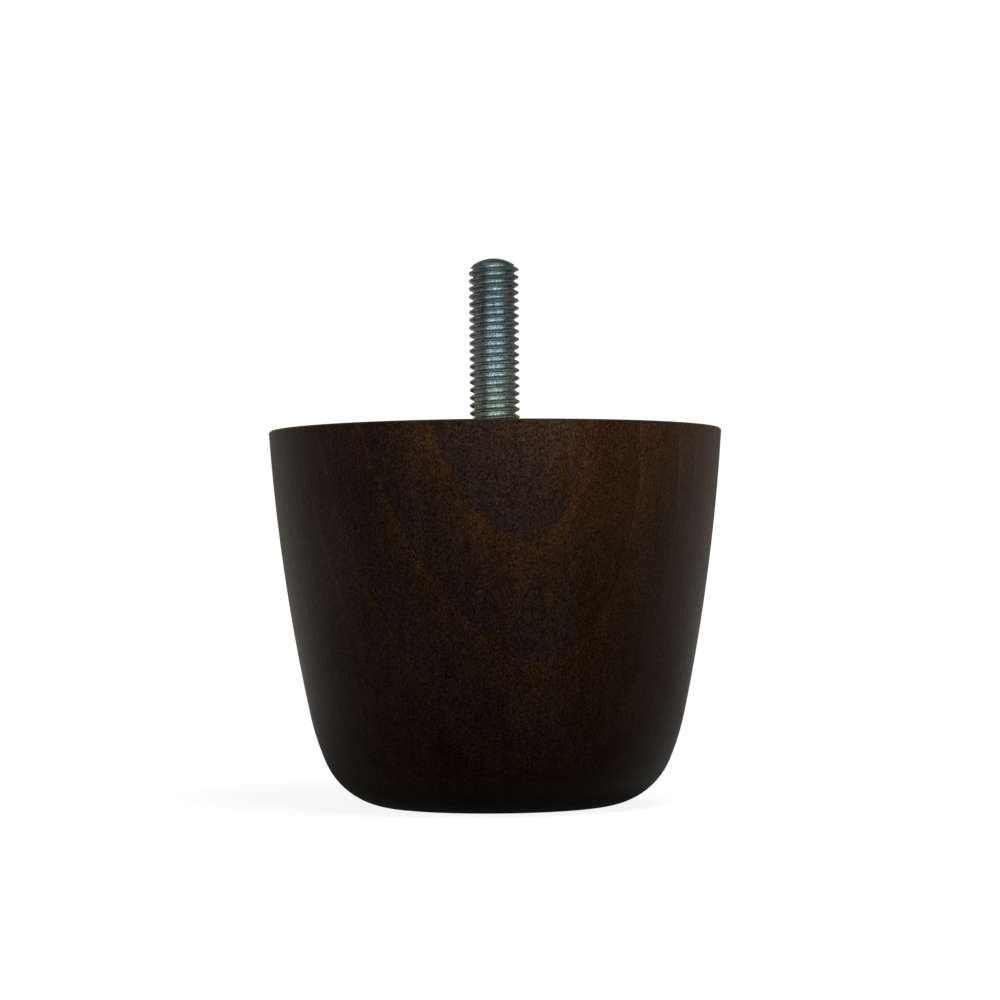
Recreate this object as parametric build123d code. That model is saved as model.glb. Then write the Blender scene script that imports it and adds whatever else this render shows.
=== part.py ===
from build123d import *
from math import radians, tan
import os

# Turned body: it stands on its floor face at Z 0, with its axis on Z. The shoulder and toe arcs
# are given by their radius and by the angle that they turn the outline through.
body_height = 60.0
top_diameter = 72.5
floor_diameter = 33.0
toe_radius = 12.0
toe_sweep = 67.0
shoulder_radius = 42.0
shoulder_sweep = 11.0
side_bands = 2
rim_break = 0.25

# Hanger bolt: a metric stud above the wood, with a plain shank and a wood screw inside it.
bolt_length = 60.0
thread_diameter = 8.0
thread_pitch = 1.25
thread_length = 26.0
crown_height = 1.0
shank_length = 5.0
core_diameter = 5.6
point_length = 6.0

# Pilot bore: drilled in steps down the body's axis and countersunk at its mouth.
mouth_clearance = 0.75
mouth_angle = 90.0
shank_clearance = 0.1
chip_space = 3.0
drill_point_angle = 118.0

# In a metric thread the pitch and minor diameters lie this many pitches under the major one.
pitch_diameter_drop = 0.6495
minor_diameter_drop = 1.2269

# The shank is the rod that the thread is rolled on, so it has the thread's pitch diameter. The
# stud ends at the minor diameter, where a nut starts.
thread_radius = thread_diameter / 2
shank_radius = (thread_diameter - pitch_diameter_drop * thread_pitch) / 2
end_radius = (thread_diameter - minor_diameter_drop * thread_pitch) / 2
core_radius = core_diameter / 2

# Heights on the axis, from the stud's end down to the screw's point. The cones between two
# diameters of the bolt stand at 45 degrees, so each is as long as its radii differ.
thread_top = body_height + thread_length
crown_foot = thread_top + (thread_radius - end_radius)
stud_end = crown_foot + crown_height
shank_top = body_height - (thread_radius - shank_radius)
shank_foot = body_height - shank_length
core_top = shank_foot - (shank_radius - core_radius)
point_tip = stud_end - bolt_length
core_foot = point_tip + point_length


def turned(*outline):
    """Solid that a closed outline, drawn as radius and height, sweeps about the axis."""
    return revolve(Plane.XZ * make_face(outline), Axis.Z)


def pilot_bore():
    """Space that the drill clears: countersunk mouth, shank bore, then the hole for the screw."""
    mouth_radius = thread_radius + mouth_clearance
    bore_radius = shank_radius + shank_clearance
    mouth_depth = (mouth_radius - bore_radius) / tan(radians(mouth_angle / 2))
    hole_foot = point_tip - chip_space
    cone_depth = core_radius / tan(radians(drill_point_angle / 2))
    # The hole is as wide as the screw's core, so the core lies against its wall all round.
    return turned(
        Polyline(
            (0, body_height),
            (mouth_radius, body_height),
            (bore_radius, body_height - mouth_depth),
            (bore_radius, core_top),
            (core_radius, core_top),
            (core_radius, hole_foot),
            (0, hole_foot - cone_depth),
            close=True,
        )
    )


def wooden_foot():
    """Body turned from one block: floor, toe, shoulder and side run on in one smooth line."""
    floor = Line((0, 0), (floor_diameter / 2, 0))
    toe = JernArc(floor @ 1, floor % 1, toe_radius, toe_sweep)
    shoulder = JernArc(toe @ 1, toe % 1, shoulder_radius, shoulder_sweep)
    rim_foot = (top_diameter / 2, body_height - rim_break)
    side = TangentArc(shoulder @ 1, rim_foot, tangent=shoulder % 1)
    # The long side is cut in equal bands down one arc, so that its facets stay few and even.
    bands = [side.trim(k / side_bands, (k + 1) / side_bands) for k in range(side_bands)]
    rim_top = (top_diameter / 2 - rim_break, body_height)
    rim_to_axis = Polyline(rim_foot, rim_top, (0, body_height), (0, 0))
    return turned(floor, toe, shoulder, *bands, rim_to_axis) - pilot_bore()


def hanger_bolt():
    """Bolt rolled from one rod: screw point and core, plain shank, full thread and domed end."""
    below_crown = Polyline(
        (0, point_tip),
        (core_radius, core_foot),
        (core_radius, core_top),
        (shank_radius, shank_foot),
        (shank_radius, shank_top),
        (thread_radius, body_height),
        (thread_radius, thread_top),
        (end_radius, crown_foot),
    )
    crown = TangentArc((0, stud_end), (end_radius, crown_foot), tangent=(1, 0))
    axis = Line((0, stud_end), (0, point_tip))
    return turned(below_crown, crown, axis)


os.makedirs("parts", exist_ok=True)
for make_part in (wooden_foot, hanger_bolt):
    export_step(make_part(), f"parts/{make_part.__name__}.step")
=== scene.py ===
from math import atan, cos, pi, radians, sin

import bpy
from mathutils import Euler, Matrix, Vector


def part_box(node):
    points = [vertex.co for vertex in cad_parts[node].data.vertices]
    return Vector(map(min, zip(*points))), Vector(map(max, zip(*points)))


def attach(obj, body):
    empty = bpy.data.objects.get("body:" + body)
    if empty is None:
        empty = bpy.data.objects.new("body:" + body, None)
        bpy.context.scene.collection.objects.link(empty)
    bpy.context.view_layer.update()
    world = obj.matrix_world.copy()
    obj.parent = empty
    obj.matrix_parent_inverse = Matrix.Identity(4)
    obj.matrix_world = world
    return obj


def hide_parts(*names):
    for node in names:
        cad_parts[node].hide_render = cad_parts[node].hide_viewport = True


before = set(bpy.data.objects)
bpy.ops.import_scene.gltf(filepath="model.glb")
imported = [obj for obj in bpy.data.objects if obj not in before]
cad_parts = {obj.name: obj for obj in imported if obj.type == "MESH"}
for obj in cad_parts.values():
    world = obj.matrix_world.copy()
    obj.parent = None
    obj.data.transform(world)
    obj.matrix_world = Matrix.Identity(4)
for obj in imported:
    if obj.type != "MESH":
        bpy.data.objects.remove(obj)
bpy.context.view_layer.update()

MM = 0.001


# Camera: a long lens a little above the middle of the body, tilted up so that the stud's end and
# the floor face both fit the square picture. The picture leans by half a degree.
camera_distance = 468 * MM
camera_height = 36.06 * MM
camera_right = 0.70 * MM
nearest_seen = 10 * MM
sensor_width = 36.0
picture_pixels = 1000
focal_pixels = 2915.6
horizon_pixels = 79.9
picture_lean = radians(0.50)

bpy.ops.object.camera_add(location=(camera_right, -camera_distance, camera_height))
camera = bpy.context.object
camera.name = "camera"
camera.data.sensor_width = sensor_width
camera.data.lens = sensor_width * (focal_pixels / picture_pixels)
camera.data.clip_start = nearest_seen
tilt = Euler((pi / 2 + atan(horizon_pixels / focal_pixels), 0, 0)).to_matrix()
lean = Euler((0, 0, -picture_lean)).to_matrix()
camera.rotation_euler = (tilt @ lean).to_euler()
bpy.context.scene.camera = camera
bpy.context.scene.view_settings.view_transform = "Standard"


# Studio: a white floor in white surroundings. A lamp high on the right lights the front, a wide
# low one fills in from the left, and a dim one reaches the back. Only mirrored rays see the warm
# backdrop behind the object and the long cool window over it.
class Wire:
    """A shader socket. Sums and products of wires add Math nodes, and node() adds any other."""

    def __init__(self, socket):
        self.socket = socket

    def node(self, kind, settings, sockets, output=0):
        """Adds a node to this wire's tree: its settings, then its sockets by name or place."""
        tree = self.socket.id_data
        made = tree.nodes.new("ShaderNode" + kind)
        for name, value in settings.items():
            if name == "points":
                curve = made.mapping.curves[0]
                for _ in value[2:]:
                    curve.points.new(0.5, 0.5)
                for point, place in zip(curve.points, value):
                    point.location = place
                    point.handle_type = "VECTOR"
                made.mapping.update()
            else:
                setattr(made, name, value)
        for name, value in sockets.items():
            if isinstance(name, int):
                socket = made.inputs[name]
            else:
                socket = next(s for s in made.inputs if s.enabled and s.name == name)
            if isinstance(value, Wire):
                tree.links.new(value.socket, socket)
            else:
                socket.default_value = value
        outputs = [s for s in made.outputs if s.enabled]
        return Wire(outputs[output] if isinstance(output, int) else made.outputs[output])

    def sibling(self, output):
        """Another output of the node that this wire comes from."""
        return Wire(self.socket.node.outputs[output])

    def split(self):
        """The three parts of this vector."""
        x = self.node("SeparateXYZ", {}, {"Vector": self}, "X")
        return x, x.sibling("Y"), x.sibling("Z")

    def feeds(self, socket):
        """Links this wire to the end of its tree or to a shader's own socket."""
        self.socket.id_data.links.new(self.socket, socket)

    def vector(self, operation, *others):
        """Adds a Vector Math node that takes this wire first."""
        return self.node("VectorMath", {"operation": operation}, dict(enumerate((self, *others))))

    def maths(self, operation, *values):
        """Adds a Math node that takes these values."""
        return self.node("Math", {"operation": operation}, dict(enumerate(values)))

    def __abs__(self):
        return self.maths("ABSOLUTE", self)

    def __add__(self, other):
        return self.maths("ADD", self, other)

    def __sub__(self, other):
        return self.maths("SUBTRACT", self, other)

    def __rsub__(self, other):
        return self.maths("SUBTRACT", other, self)

    def __mul__(self, other):
        return self.maths("MULTIPLY", self, other)

    def __truediv__(self, other):
        return self.maths("DIVIDE", self, other)

    def __pow__(self, other):
        return self.maths("POWER", self, other)

    __radd__ = __add__
    __rmul__ = __mul__


def ramp(value, low, high, most=1.0, least=0.0):
    """Rises smoothly from the least, where the value is low, to the most, where it is high."""
    return value.node(
        "MapRange",
        {"interpolation_type": "SMOOTHSTEP"},
        {"Value": value, "From Min": low, "From Max": high, "To Min": least, "To Max": most},
    )


def scaled(vector, strength):
    """Vector or colour times a strength. One of the two has to be a wire."""
    wire = vector if isinstance(vector, Wire) else strength
    return wire.node("VectorMath", {"operation": "SCALE"}, {"Vector": vector, "Scale": strength})


def blend(share, ground, colour):
    """Colour laid over the ground by a share from 0 to 1."""
    return share.node("Mix", {"data_type": "RGBA"}, {"Factor": share, "A": ground, "B": colour})


# Directions are parts of a unit vector. Where several numbers share a name, here and below, they
# are a ramp: from where, to where, the most and, if it isn't 0, the least.
white = (1, 1, 1)
shown_level = 1.05
fill_level = 0.08
backdrop_colour = (1.0, 0.96, 0.87)
backdrop_behind = (-0.15, 0.15, 0.24, 0.135)
backdrop_turn = 0.5
backdrop_slant = 0.2
ceiling_dimming = (0.35, 0.80, 0.5)
window_colour = (0.78, 1.0, 1.02)
window_right = 0.10
window_side = (0.48, 0.92)
window_from_front = (-0.9, -0.3, 0.60, 1.40)
window_back_end = (0.05, 0.45, 0, 1)


def window(rightwards, backwards):
    """Long window over the object, strongest in front, for rays with these two directions."""
    strength = ramp(backwards, *window_from_front) * ramp(backwards, *window_back_end)
    strength = strength * (1 - ramp(abs(rightwards - window_right), *window_side))
    return scaled(window_colour, strength)


world = bpy.data.worlds.new("studio")
world.use_nodes = True
bpy.context.scene.world = world
world.node_tree.nodes.clear()
world_end = world.node_tree.nodes.new("ShaderNodeOutputWorld").inputs["Surface"]
ray = Wire(world_end).node("LightPath", {}, {}, "Is Camera Ray")
mirrored = ray.sibling("Is Glossy Ray")
direct = ray + ray.sibling("Is Transmission Ray")
rightwards, backwards, upwards = direct.node("TexCoord", {}, {}, "Generated").split()
backdrop = ramp(backwards - backdrop_turn * rightwards, *backdrop_behind)
backdrop = backdrop * (1 - ramp(upwards, *ceiling_dimming))
backdrop = backdrop * (1 - backdrop_slant * rightwards)
room = scaled(backdrop_colour, backdrop).vector("ADD", window(rightwards, backwards))
plain = scaled(white, direct * shown_level + (1 - direct) * fill_level)
light = blend(mirrored, plain, room)
light.node("Background", {}, {"Color": light}).feeds(world_end)

# The floor glows by its distance in metres from a point under the object. Mirrored rays see it
# darker there, and see the window in it further out, as it would be seen from the stud.
floor_size = 8.0
floor_grey = (0.10, 0.10, 0.10, 1)
glow_centre = (0.03, 0, 0)
seen_glow = (0.05, 0.30, 1.0, 0.90)
mirrored_glow = (0.05, 0.30, 0.30, 0.03)
window_glimpse = (0.08, 0.14)
stud_middle = (0, 0, 0.075)

bpy.ops.object.select_all(action="DESELECT")
bpy.ops.mesh.primitive_plane_add(size=floor_size)
floor = bpy.context.object
floor.name = "floor"
paint = bpy.data.materials.new("white_floor")
paint.use_nodes = True
paint.node_tree.nodes.clear()
paint_end = paint.node_tree.nodes.new("ShaderNodeOutputMaterial").inputs["Surface"]
matt = Wire(paint_end).node("BsdfDiffuse", {}, {"Color": floor_grey})
ray = matt.node("LightPath", {}, {}, "Is Camera Ray")
mirrored = ray.sibling("Is Glossy Ray")
place = ray.node("TexCoord", {}, {}, "Object")
from_centre = place.vector("DISTANCE", glow_centre)
rightwards, backwards, _ = place.vector("SUBTRACT", stud_middle).vector("NORMALIZE").split()
glimpse = scaled(window(rightwards, backwards), ramp(from_centre, *window_glimpse))
shown = scaled(backdrop_colour, ramp(from_centre, *mirrored_glow)).vector("ADD", glimpse)
seen = scaled(white, ray * ramp(from_centre, *seen_glow))
light = scaled(shown, mirrored).vector("ADD", seen)
glow = light.node("Emission", {}, {"Color": light})
glow.node("AddShader", {}, {0: matt, 1: glow}).feeds(paint_end)
floor.data.materials.append(paint)

# Lamps face a point on the axis. Bearings, from the front to the right, and heights are in
# degrees, distances and sizes in metres, and powers in watts.
lamps_aim_height = 30 * MM
for name, bearing, height, distance, width, tall, power in (
    ("left_lamp", -35, 22, 0.45, 0.50, 0.30, 0.44),
    ("key_lamp", 32, 66, 0.21, 0.16, 0.16, 1.15),
    ("back_lamp", 180, 35, 0.45, 0.30, 0.30, 0.55),
):
    stand = (
        sin(radians(bearing)) * cos(radians(height)) * distance,
        -cos(radians(bearing)) * cos(radians(height)) * distance,
        sin(radians(height)) * distance + lamps_aim_height,
    )
    bpy.ops.object.light_add(
        type="AREA",
        location=stand,
        rotation=(pi / 2 - radians(height), 0, radians(bearing)),
    )
    lamp = bpy.context.object
    lamp.name = name
    lamp.data.shape = "RECTANGLE"
    lamp.data.size = width
    lamp.data.size_y = tall
    lamp.data.energy = power
    lamp.visible_camera = False
    lamp.visible_glossy = False


# Wooden foot: turned from one block of close-grained hardwood, stained dark brown and given a
# thin satin varnish. The block was cut beside the heart of the tree, which lies behind it, so
# the growth rings cross the front in pointed arches.
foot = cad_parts["wooden_foot"]
wood = bpy.data.materials.new("stained_wood")
wood.use_nodes = True
varnish = wood.node_tree.nodes["Principled BSDF"]


def millimetres(socket):
    """Object coordinates in millimetres, in the tree of this socket."""
    return scaled(Wire(socket).node("TexCoord", {}, {}, "Object"), 1 / MM)


def grain(spot, cell, detail, roughness=0.5):
    """Noise from 0 to 1 whose cells are as long as these many millimetres on each axis."""
    cells = spot.node("Mapping", {}, {"Vector": spot, "Scale": tuple(1 / side for side in cell)})
    return cells.node(
        "TexNoise",
        {"noise_dimensions": "3D"},
        {"Vector": cells, "Scale": 1.0, "Detail": detail, "Roughness": roughness},
        "Fac",
    )


spot = millimetres(varnish.inputs["Base Color"])
x, y, z = spot.split()
wander = grain(spot, (14, 14, 30), 1)
ripple = grain(spot, (1.6, 1.6, 4), 3)
stripe = grain(spot, (1.3, 1.3, 60), 2)
stripe_tone = grain(spot, (2.4, 2.4, 90), 3)
patch = grain(spot, (0.9, 0.9, 1.6), 2, 0.7)
fade = grain(spot, (3.5, 3.5, 6), 2)
cloud = grain(spot, (11, 11, 26), 1)
fibre = grain(spot, (0.30, 0.30, 9), 2)
pore = grain(spot, (0.25, 0.25, 1.8), 1)
speckle = grain(spot, (0.27, 0.27, 0.34), 1)
mottle = grain(spot, (0.9, 0.9, 1.2), 1)

# Growth rings are found by their distance from the heart, in millimetres. Each row of rings_at
# says how many rings lie within a distance.
heart_depth = 60.0
heart_right = -2.84
heart_lean_right = 0.081
heart_lean_back = -0.062
heart_oval = 1.4
lean_from = 30.0
ring_wander = 0.25
ring_ripple = 0.24
ring_reach = 96.4
ring_count = 39
rings_at = (
    (0, 0),
    (83.5, 33),
    (86.2, 34),
    (88.6, 35),
    (90.31, 36),
    (92.56, 37),
    (93.87, 38),
    (ring_reach, ring_count),
)

across = heart_oval * (x - heart_right - heart_lean_right * (z - lean_from))
deep = y - heart_depth - heart_lean_back * (z - lean_from)
radius = (across * across + deep * deep) ** 0.5
radius = radius + (wander - 0.5) * ring_wander + (ripple - 0.5) * ring_ripple
years = radius.node(
    "FloatCurve",
    {"points": [(at / ring_reach, n / ring_count) for at, n in rings_at]},
    {"Value": radius / ring_reach},
)
season = years.maths("FRACT", years * ring_count)

# The stain takes a plum tint in the early wood and orange in the late wood, whose thin lines
# fade in places. One patch beside the first arch is paler wood that hides the plum, and its
# lift in tone is painted light from the lamp on the upper right.
late_line_share = 0.60
late_line_power = 10.0
late_wood_power = 3.0
late_in_patches = (0.36, 0.60, 1.0, 0.55)
late_in_places = (0.36, 0.60, 1.0, 0.35)
late_upwards = (10, 45, 1.0, 0.6)
early_wood_power = 3.0
pale_from_left = (1, 8)
pale_to_right = (10, 16, 0, 1)
pale_upwards = (45, 55)
pale_hides_plum = 0.7

late = late_line_share * season**late_line_power
late = late + (1 - late_line_share) * season**late_wood_power
late = late * ramp(patch, *late_in_patches) * ramp(fade, *late_in_places)
pale = ramp(x, *pale_from_left) * ramp(x, *pale_to_right) * ramp(z, *pale_upwards)
early = (1 - season) ** early_wood_power * (1 - pale_hides_plum * pale)

tan_brown = (0.0212, 0.0117, 0.0074, 1)
plum_grey = (0.0190, 0.0122, 0.0104, 1)
orange_brown = (0.0420, 0.0180, 0.0070, 1)
red_brown = (0.0225, 0.0090, 0.0022, 1)
pore_brown = (0.0120, 0.0050, 0.0026, 1)
plum_patches = (0.40, 0.66, 0.35)
redder_right = (6, 18, 0.40)
redder_below = (0, 24, 0, 0.10)
red_stripes = (0.18, 0.54, 0, 0.80)
red_fibres = (0.35, 0.65, 0.35)
dark_pores = (0.56, 0.74, 0.7)

redder = ramp(x, *redder_right) + ramp(z, *redder_below)
stain = blend(early, tan_brown, plum_grey)
stain = blend(ramp(patch, *plum_patches), stain, plum_grey)
stain = blend(ramp(stripe - redder, *red_stripes), stain, red_brown)
stain = blend(ramp(fibre, *red_fibres), stain, red_brown)
stain = blend(late * ramp(z, *late_upwards), stain, orange_brown)
stain = blend(ramp(pore, *dark_pores), stain, pore_brown)

# The end grain of the top and its rim takes up more stain, so it is darker, with less speckle.
# Painted light and shade: darker towards the bottom, lighter at the top and near the rim.
painted_light_upwards = (0, 60, 1.16, 0.80)
painted_light_near_rim = (50, 60, 0.25)
stripe_contrast = 0.8
cloud_contrast = 0.5
speckle_power = 1.75
mottle_power = 0.2
end_grain_from = (59.68, 59.76)
end_grain_darkening = 0.62
# Painted light on the pale patch.
pale_painted_light = 0.34
# Painted shade: the lower right and the upper left are painted darker, where less lamp light
# falls.
painted_shade_right = (8, 16, 0.18)
painted_shade_right_below = (38, 50, 0.4, 1)
painted_shade_left = (-20, -10, 0, 0.24)
painted_shade_left_above = (40, 52)

# Painted light from above: lighter towards the top and near the rim.
tone = ramp(z, *painted_light_upwards) + ramp(z, *painted_light_near_rim)
tone = tone + (stripe_tone - 0.5) * stripe_contrast + (cloud - 0.5) * cloud_contrast
end_grain = ramp(z, *end_grain_from)
tone = tone * (2 * speckle) ** (speckle_power - end_grain) * (2 * mottle) ** mottle_power
tone = tone * (1 - end_grain_darkening * end_grain)
# Painted light: the pale patch on the upper right is lifted in tone.
tone = tone * (1 + pale_painted_light * pale)
# Painted shade on the lower right and the upper left.
painted_shade_on_right = ramp(x, *painted_shade_right) * ramp(z, *painted_shade_right_below)
painted_shade_on_left = ramp(x, *painted_shade_left) * ramp(z, *painted_shade_left_above)
tone = tone * (1 - painted_shade_on_right - painted_shade_on_left)
scaled(stain, tone).feeds(varnish.inputs["Base Color"])

varnish_roughness = 0.24
fibre_roughness = 0.2
mirror_tint = (0.01, 0.01, 0.01, 1)
grain_bump = 0.5
grain_depth = 0.05 * MM
fibre_depth_share = 1.5

(varnish_roughness + fibre * fibre_roughness).feeds(varnish.inputs["Roughness"])
varnish.inputs["Specular Tint"].default_value = mirror_tint
relief = pore + fibre_depth_share * fibre
bump = relief.node(
    "Bump", {}, {"Strength": grain_bump, "Distance": grain_depth, "Height": relief}, "Normal"
)
bump.feeds(varnish.inputs["Normal"])
foot.data.materials.clear()
foot.data.materials.append(wood)


# Hanger bolt: rolled from one zinc-plated steel rod, with a right-hand metric thread above the
# wood and a wood screw below it. It is screwed into the pilot bore, and its thread bites there.
screw_tip, stud_end = (corner.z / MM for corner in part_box("hanger_bolt"))
crest_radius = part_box("hanger_bolt")[1].x / MM
body_height = 60.0
shank_radius = 3.594
shank_foot = 55.0
core_radius = 2.8
shank_top = body_height - (crest_radius - shank_radius)
core_top = shank_foot - (shank_radius - core_radius)
around = 64
weld_distance = 0.001 * MM
cut_closeness = 0.0001 * MM
past_end = 1


def swept(name, outline, turns=1, rise=0.0, steps=around):
    """Sweeps (radius, height) points about the axis, up a right-hand helix if there is a rise."""
    bpy.ops.object.select_all(action="DESELECT")
    bpy.ops.mesh.primitive_plane_add(size=1)
    made = bpy.context.object
    made.name = name
    bpy.ops.object.mode_set(mode="EDIT")
    bpy.ops.mesh.select_all(action="SELECT")
    bpy.ops.mesh.merge(type="CENTER")
    bpy.ops.transform.translate(value=(outline[0][0] * MM, 0, outline[0][1] * MM))
    for here, there in zip(outline, outline[1:]):
        step = ((there[0] - here[0]) * MM, 0, (there[1] - here[1]) * MM)
        bpy.ops.mesh.extrude_region_move(TRANSFORM_OT_translate={"value": step})
    bpy.ops.object.mode_set(mode="OBJECT")
    sweep = made.modifiers.new("sweep", "SCREW")
    sweep.axis = "Z"
    sweep.angle = 2 * pi
    sweep.steps = sweep.render_steps = steps
    sweep.screw_offset = rise * MM
    sweep.iterations = turns
    bpy.ops.object.modifier_apply(modifier=sweep.name)
    bpy.ops.object.mode_set(mode="EDIT")
    bpy.ops.mesh.select_all(action="SELECT")
    bpy.ops.mesh.remove_doubles(threshold=weld_distance)
    bpy.ops.object.mode_set(mode="OBJECT")
    return made


def cut_level(foot, top):
    """Cuts the active piece level at two heights, closes it and turns its normals outwards.

    Heights past its ends cut nothing, and leave only the normals to be turned.
    """
    bpy.ops.object.mode_set(mode="EDIT")
    for height, side in ((foot, "clear_inner"), (top, "clear_outer")):
        bpy.ops.mesh.select_all(action="SELECT")
        bpy.ops.mesh.bisect(
            plane_co=(0, 0, height * MM),
            plane_no=(0, 0, 1),
            use_fill=True,
            threshold=cut_closeness,
            **{side: True},
        )
    bpy.ops.mesh.select_all(action="SELECT")
    bpy.ops.mesh.normals_make_consistent(inside=False)
    bpy.ops.object.mode_set(mode="OBJECT")


def combined(piece, other, operation):
    """Cuts one closed mesh to what it shares with another, or joins the two."""
    bpy.ops.object.select_all(action="DESELECT")
    bpy.context.view_layer.objects.active = piece
    both = piece.modifiers.new("both", "BOOLEAN")
    both.operation = operation
    both.solver = "EXACT"
    both.object = other
    bpy.ops.object.modifier_apply(modifier=both.name)
    bpy.data.objects.remove(other)


def arc(centre, radius, first, last, parts):
    """Points on an arc, as (radius, height); its angles are measured from straight outwards."""
    angles = [first + (last - first) * k / parts for k in range(parts + 1)]
    return [(centre[0] + radius * cos(a), centre[1] + radius * sin(a)) for a in angles]


# The metric thread is swept in whole turns that reach past both ends of the stud.
pitch = 1.25
crest_flat = 0.30
crest_round = 0.11
crest_parts = 3
root_radius = 3.27
root_round = 0.15
root_parts = 6
flank_angle = radians(60)
left_crest_height = 84.09
turns_below = 21
thread_turns = 25
cut_above_first = 1.15
past_stud = 0.3

crest_reach = crest_flat / 2 - crest_round * sin(flank_angle) / (1 + cos(flank_angle))
crest_centre = (crest_radius - crest_round, crest_reach)
crest_arc = arc(crest_centre, crest_round, 0, flank_angle, crest_parts)
root_centre = (root_radius + root_round, pitch / 2)
root_arc = arc(root_centre, root_round, pi + flank_angle, pi - flank_angle, root_parts)
tooth = crest_arc + root_arc + [(r, pitch - h) for r, h in reversed(crest_arc)]
tooth.append((crest_radius, pitch + crest_reach))
first_crest = left_crest_height - pitch / 2 - turns_below * pitch
teeth = [(r, h + first_crest) for r, h in tooth]
bolt = swept("hanger_bolt_threaded", teeth, thread_turns, pitch)
cut_level(first_crest + cut_above_first * pitch, stud_end + past_stud)

# The blank is the stud without its thread: the thread is cut to it at the shank and the dome.
thread_top = 86.0
crown_height = 1.0
dome_parts = 8
clear_of_crests = 0.02

dome_radius = (root_radius**2 + crown_height**2) / (2 * crown_height)
dome_reach = atan(root_radius / (dome_radius - crown_height))
dome_centre = (0, stud_end - dome_radius)
dome = arc(dome_centre, dome_radius, pi / 2 - dome_reach, pi / 2, dome_parts)
blank = swept(
    "blank",
    [
        (0, shank_top),
        (shank_radius, shank_top),
        (crest_radius + clear_of_crests, body_height),
        (crest_radius + clear_of_crests, thread_top),
        *dome[:-1],
        (0, stud_end),
    ],
)
cut_level(screw_tip, stud_end + past_end)
combined(bolt, blank, "INTERSECT")

# The plain shank laps into the thread above it and the screw below it.
shank_lap = 0.2
inside_core = 0.05
shank_tail = 3

shank = swept(
    "shank",
    [
        (0, body_height - shank_lap),
        (shank_radius, body_height - shank_lap),
        (shank_radius, shank_foot),
        (core_radius - inside_core, core_top),
        (core_radius - inside_core, shank_foot - shank_tail),
        (0, shank_foot - shank_tail),
    ],
)
cut_level(screw_tip, stud_end)
combined(bolt, shank, "UNION")

# The wood screw narrows to its point, and its thread runs out below the shank.
screw_pitch = 3.2
screw_crest = 0.14
screw_ridge = 1.5
screw_turns = 10
screw_steps = 48
point_length = 6.0
tip_cut = 0.02
top_cut = 0.3
run_out_starts = 0.9
run_out_ends = 2.4

ridge = [
    (core_radius, 0),
    (core_radius, (screw_pitch - screw_ridge) / 2),
    (crest_radius, (screw_pitch - screw_crest) / 2),
    (crest_radius, (screw_pitch + screw_crest) / 2),
    (core_radius, (screw_pitch + screw_ridge) / 2),
    (core_radius, screw_pitch),
]
screw_foot = screw_tip - screw_pitch - past_end
ridges = [(r, h + screw_foot) for r, h in ridge]
screw = swept("screw", ridges, screw_turns, screw_pitch, screw_steps)
cut_level(screw_tip + tip_cut, core_top - top_cut)
for corner in screw.data.vertices:
    share = min(1, max(0, (corner.co.z / MM - screw_tip) / point_length))
    corner.co.x *= share
    corner.co.y *= share
run_out = swept(
    "run_out",
    [
        (0, shank_foot - run_out_starts),
        (core_radius, shank_foot - run_out_starts),
        (crest_radius + clear_of_crests, shank_foot - run_out_ends),
        (crest_radius + clear_of_crests, screw_tip - past_end),
        (0, screw_tip - past_end),
    ],
)
cut_level(screw_tip - 2 * past_end, stud_end)
combined(screw, run_out, "INTERSECT")
combined(bolt, screw, "UNION")

smooth_below = radians(28)
bpy.ops.object.select_all(action="DESELECT")
bolt.select_set(True)
bpy.context.view_layer.objects.active = bolt
bpy.ops.object.shade_smooth_by_angle(angle=smooth_below)

# The plating is blue-green and warmer towards the wood. The rolling dies left streaks round it.
# Its crests are painted darker than its roots, most of all in front and behind, as painted shade
# for the dark reflection there. The dome is painted in shade, and the stud is painted lighter
# towards the wood and darker towards its end.
green_zinc = (0.39, 0.47, 0.43, 1)
blue_zinc = (0.47, 0.48, 0.55, 1)
warm_zinc = (0.42, 0.44, 0.385, 1)
blue_patches = (0.35, 0.65)
warm_below = (60, 74, 0, 0.9)
crest_zone = (3.70, 3.92)
# Painted shade: the crests are painted darker in front and behind, for the dark reflection there.
crest_shade_by_side = (1.2, 3.0, 0.80, 0.20)
# Painted shade on the dome, and painted light: lighter towards the wood, darker towards the end.
dome_shade = (86.3, 86.7, 0.80, 1.0)
painted_light_by_height = (60, 86, 0.82, 1.36)
grit_power = 1.6
drawn_power = 0.8
plating_roughness = 0.20
haze_roughness = 0.16
plating_bump = 0.3
plating_depth = 0.02 * MM

zinc = bpy.data.materials.new("zinc_plated_steel")
zinc.use_nodes = True
plating = zinc.node_tree.nodes["Principled BSDF"]
spot = millimetres(plating.inputs["Base Color"])
x, y, z = spot.split()
out = (x * x + y * y) ** 0.5
hue = grain(spot, (0.5, 0.5, 0.5), 1)
haze = grain(spot, (1.3, 1.3, 0.5), 2)
grit = grain(spot, (0.20, 0.20, 0.14), 1)
drawn = grain(spot, (1.6, 1.6, 0.10), 1)
tint = blend(ramp(hue, *blue_patches), green_zinc, blue_zinc)
tint = blend(ramp(z, *warm_below), tint, warm_zinc)
# Painted shade on the crests and the dome, and painted light by height.
painted_light_and_shade = ramp(out, *crest_zone, ramp(abs(x), *crest_shade_by_side), 1.0)
painted_light_and_shade = painted_light_and_shade * ramp(z, *dome_shade) * ramp(z, *painted_light_by_height)
tone = painted_light_and_shade * (2 * grit) ** grit_power * (2 * drawn) ** drawn_power
scaled(tint, tone).feeds(plating.inputs["Base Color"])
(plating_roughness + haze * haze_roughness).feeds(plating.inputs["Roughness"])
relief = grit + drawn
bump = relief.node(
    "Bump", {}, {"Strength": plating_bump, "Distance": plating_depth, "Height": relief}, "Normal"
)
bump.feeds(plating.inputs["Normal"])
plating.inputs["Metallic"].default_value = 1.0
bolt.data.materials.clear()
bolt.data.materials.append(zinc)
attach(bolt, "root")
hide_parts("hanger_bolt")
